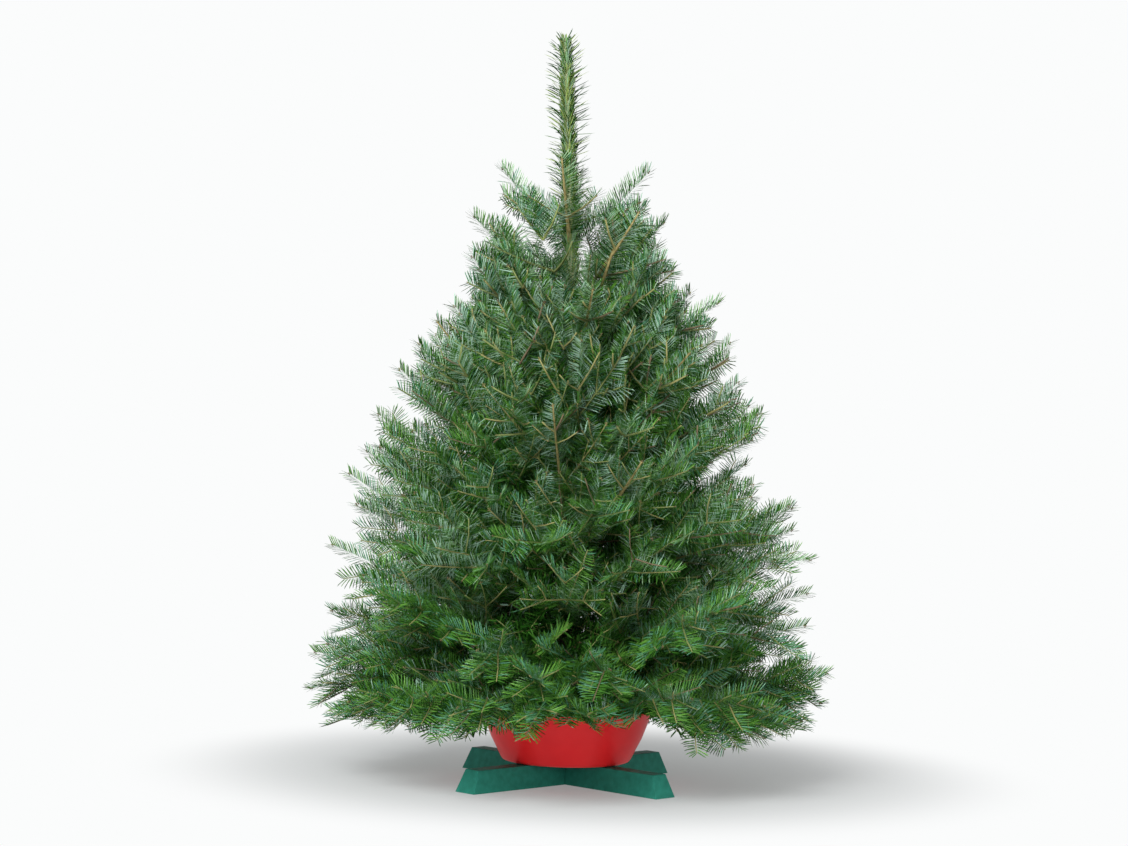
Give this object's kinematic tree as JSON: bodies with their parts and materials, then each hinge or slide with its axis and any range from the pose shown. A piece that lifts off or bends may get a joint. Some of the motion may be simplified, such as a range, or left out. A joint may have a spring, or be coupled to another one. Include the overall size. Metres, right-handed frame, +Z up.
{
  "type": "christmas tree",
  "caption": "Small cut tabletop fir tree, bare of ornaments, standing in a water bowl on crossed sheet steel legs.",
  "frame": {"origin": "on the table under the middle of the stand, which is the centre of the bounding box's underside", "axes": "+Z up the trunk, -Y towards the front of the picture, +X to its right"},
  "size_m": [0.508, 0.5074, 0.7486],
  "materials": {
    "bark": "rough bark",
    "limb_bark": "rough bark",
    "needle_green": "waxy needles",
    "needle_blue": "waxy needles",
    "leader_green": "young shoot",
    "red_plastic": "satin",
    "green_steel": "semi-gloss paint",
    "zinc_steel": "zinc plated"
  },
  "bodies": {
    "root": {"trunk": "bark", "bough_4_1": "limb_bark", "bough_4_2": "limb_bark", "bough_4_3": "limb_bark", "bough_4_4": "limb_bark", "bough_4_5": "limb_bark", "bough_4_6": "limb_bark", "bough_5_1": "limb_bark", "bough_5_2": "limb_bark", "bough_5_3": "limb_bark", "bough_5_4": "limb_bark", "bough_5_5": "limb_bark", "bough_5_6": "limb_bark", "bough_6_1": "limb_bark", "bough_6_2": "limb_bark", "bough_6_3": "limb_bark", "bough_6_4": "limb_bark", "bough_6_5": "limb_bark", "bough_6_6": "limb_bark", "bough_6_7": "limb_bark", "bough_6_8": "limb_bark", "foliage_1_1": "needle_green", "foliage_1_2": "needle_green", "foliage_1_3": "needle_green", "foliage_1_4": "needle_green", "foliage_2_1": "needle_blue", "foliage_2_2": "needle_blue", "foliage_2_3": "needle_blue", "foliage_2_4": "needle_blue", "foliage_2_5": "needle_blue", "foliage_3_1": "needle_green", "foliage_3_2": "needle_green", "foliage_3_3": "needle_green", "foliage_3_4": "needle_green", "foliage_3_5": "needle_green", "foliage_4_1": "needle_blue", "foliage_4_2": "needle_blue", "foliage_4_3": "needle_blue", "foliage_4_4": "needle_blue", "foliage_4_5": "needle_blue", "foliage_4_6": "needle_blue", "foliage_5_1": "needle_green", "foliage_5_2": "needle_green", "foliage_5_3": "needle_green", "foliage_5_4": "needle_green", "foliage_5_5": "needle_green", "foliage_5_6": "needle_green", "foliage_6_1": "needle_blue", "foliage_6_2": "needle_blue", "foliage_6_3": "needle_blue", "foliage_6_4": "needle_blue", "foliage_6_5": "needle_blue", "foliage_6_6": "needle_blue", "foliage_6_7": "needle_blue", "foliage_6_8": "needle_blue", "leader_foliage": "leader_green", "stand_leg_upper": "green_steel", "stand_leg_lower": "green_steel", "water_bowl": "red_plastic", "stand_screw": "zinc_steel"}
  },
  "joints": []
}
